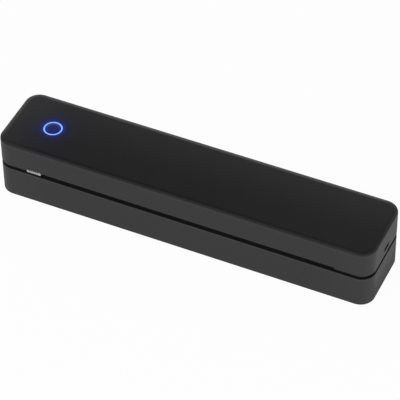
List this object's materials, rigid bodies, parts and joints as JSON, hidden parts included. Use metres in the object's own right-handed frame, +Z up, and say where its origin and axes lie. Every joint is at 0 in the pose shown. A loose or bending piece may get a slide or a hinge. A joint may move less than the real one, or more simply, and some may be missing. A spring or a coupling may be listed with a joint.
{
  "type": "portable thermal page printer",
  "caption": "Slim black desk-wide thermal printer with a rear-hinged cover, front paper slot, lit ring button and finned print head over a geared rubber roller.",
  "frame": {"origin": "on the surface it stands on, under the middle of the case", "axes": "+X along the case to the end with the charging socket, -Y is the front where the paper leaves, +Z up"},
  "size_m": [0.31, 0.0624, 0.053],
  "materials": {
    "case_black": "finely textured black moulding",
    "cover_black": "black moulding, textured sides and a smoother top",
    "inner_black": "plain black moulding",
    "sheet_steel": "zinc-plated sheet",
    "bearing_white": "white bearing plastic",
    "steel": "ground steel",
    "spring_steel": "spring wire",
    "motor_can": "plated motor can",
    "screw_steel": "plated screws",
    "screw_black": "blackened screws",
    "cell_wrap": "blue shrink sleeve over a cell",
    "board_green": "circuit board",
    "sensor_black": "dark optical housing",
    "feet_rubber": "black rubber",
    "roller_rubber": "ground black rubber",
    "gear_plastic": "white acetal",
    "pinion_brass": "turned brass",
    "ring_light": "clear light guide lit blue",
    "switch_black": "key switch",
    "chip_black": "electronic parts",
    "socket_metal": "plated socket shell",
    "sink_aluminium": "extruded aluminium",
    "ceramic_white": "glazed ceramic",
    "driver_black": "black cover",
    "slider_silver": "silver-coated ribbed plastic",
    "button_black": "black button cap"
  },
  "bodies": {
    "base": {"lower_casing": "case_black", "paper_deck": "inner_black", "roller_chassis": "sheet_steel", "roller_bushes": "bearing_white", "idler_post": "steel", "stepper_motor": "motor_can", "motor_screws": "screw_steel", "chassis_screws": "screw_steel", "battery_cells": "cell_wrap", "battery_straps": "inner_black", "battery_board": "board_green", "paper_sensor": "sensor_black", "hinge_pins": "steel", "base_screws": "screw_black", "rubber_feet": "feet_rubber"},
    "platen": {"platen_shaft": "steel", "platen_roller": "roller_rubber", "platen_gear": "gear_plastic", "platen_clip": "steel"},
    "idler": {"idler_gear": "gear_plastic"},
    "rotor": {"motor_shaft": "steel", "motor_pinion": "pinion_brass"},
    "cover": {"upper_cover": "cover_black", "cover_liner": "inner_black", "cover_screws": "screw_black", "ring_light": "ring_light", "button_board": "board_green", "button_switch": "switch_black", "main_board": "board_green", "board_chips": "chip_black", "usb_board": "board_green", "usb_socket": "socket_metal", "board_screws": "screw_steel", "head_bracket": "sheet_steel", "bracket_screws": "screw_steel", "head_pivot": "steel", "pivot_clips": "steel", "head_springs": "spring_steel"},
    "head": {"heat_sink": "sink_aluminium", "print_head": "ceramic_white", "driver_cover": "driver_black"},
    "lock": {"lock_slider": "slider_silver", "lock_bar": "sheet_steel"},
    "button": {"power_button": "button_black"}
  },
  "joints": [
    {"name": "cover_hinge", "type": "hinge", "parent": "base", "child": "cover", "pos_m": [0, 0.02825, 0.0291], "axis": [-1, 0, 0], "range_deg": [0, 85]},
    {"name": "head_rock", "type": "hinge", "parent": "cover", "child": "head", "pos_m": [0, 0.007, 0.0371], "axis": [-1, 0, 0], "range_deg": [0, 1.5], "stiffness_Nm_per_rad": 2, "springref_deg": -14.9, "deforming": ["head_springs"]},
    {"name": "lock_slide", "type": "slide", "parent": "cover", "child": "lock", "axis": [1, 0, 0], "range_m": [0, 0.002]},
    {"name": "button_press", "type": "slide", "parent": "cover", "child": "button", "axis": [0, 0, -1], "range_m": [0, 0.0005], "stiffness_N_per_m": 1500, "springref_m": -0.0003},
    {"name": "roller_spin", "type": "hinge", "parent": "base", "child": "platen", "pos_m": [0, -0.006, 0.0225], "axis": [1, 0, 0], "continuous": true},
    {"name": "idler_spin", "type": "hinge", "parent": "base", "child": "idler", "pos_m": [-0.112, 0.00309, 0.01725], "axis": [1, 0, 0], "continuous": true},
    {"name": "motor_spin", "type": "hinge", "parent": "base", "child": "rotor", "pos_m": [-0.112, 0.01457, 0.01374], "axis": [1, 0, 0], "continuous": true}
  ],
  "couplings": [
    {"joint": "idler_spin", "follows": "roller_spin", "ratio": -2},
    {"joint": "motor_spin", "follows": "roller_spin", "ratio": 6}
  ]
}
